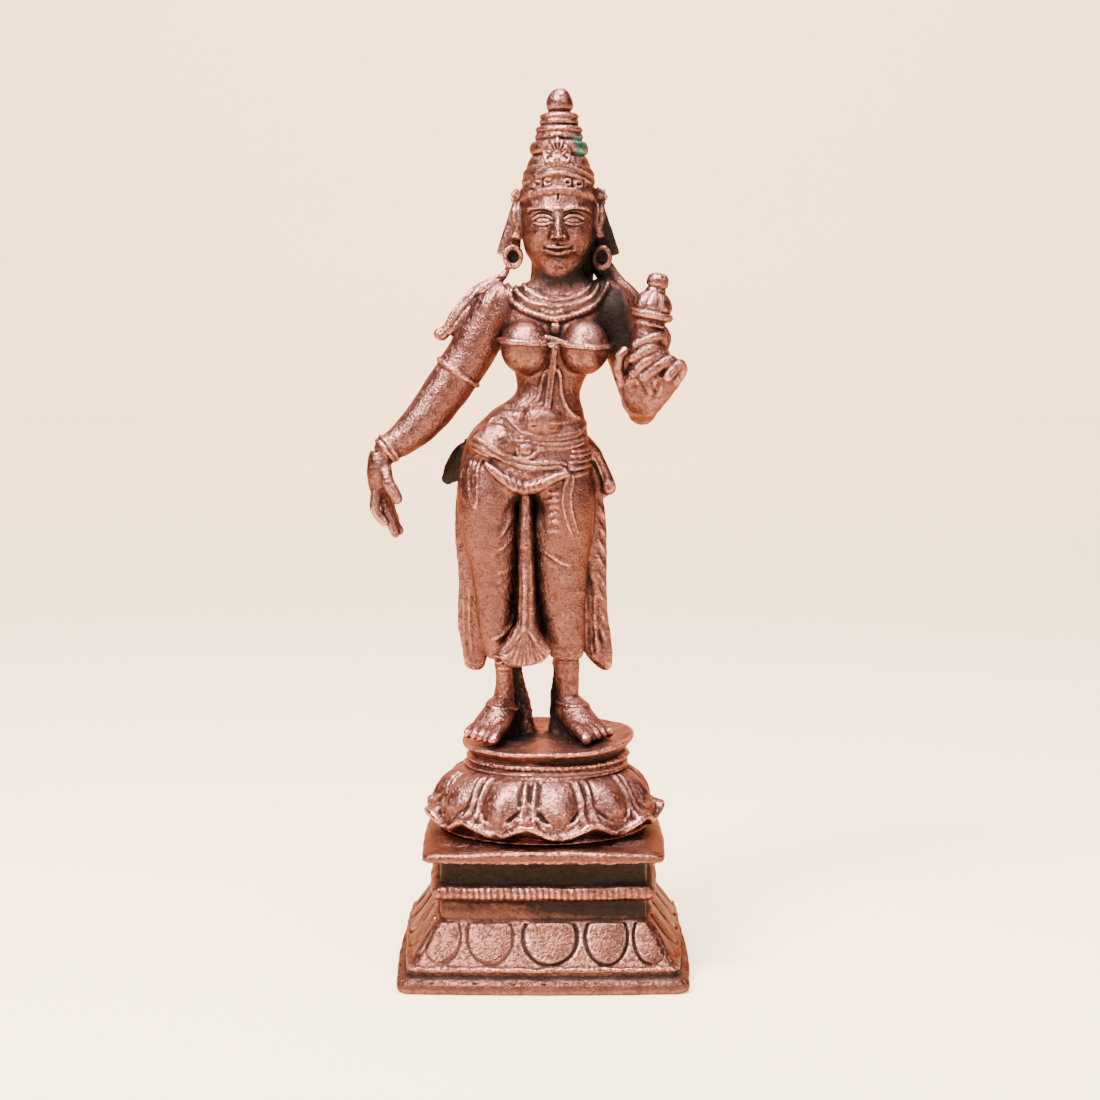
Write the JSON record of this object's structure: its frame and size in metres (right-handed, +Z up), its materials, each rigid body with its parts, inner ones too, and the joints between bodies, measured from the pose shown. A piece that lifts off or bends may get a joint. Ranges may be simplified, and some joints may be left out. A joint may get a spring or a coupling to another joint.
{
  "type": "bhudevi figure",
  "caption": "Standing earth goddess in copper-finished cast metal, holding up a flower bud, on a round lotus and a square stepped plinth; stands on a shelf or shrine.",
  "frame": {"origin": "centre of the plinth's flat underside", "axes": "+Z up through the figure; the figure faces -Y; +X is the figure's left, the side of the raised hand"},
  "size_m": [0.0464, 0.0426, 0.127],
  "materials": {
    "cast_copper": "antique copper, burnished on the high places and near black in the recesses"
  },
  "bodies": {
    "root": {"figure_on_lotus": "cast_copper", "square_plinth": "cast_copper"}
  },
  "joints": []
}
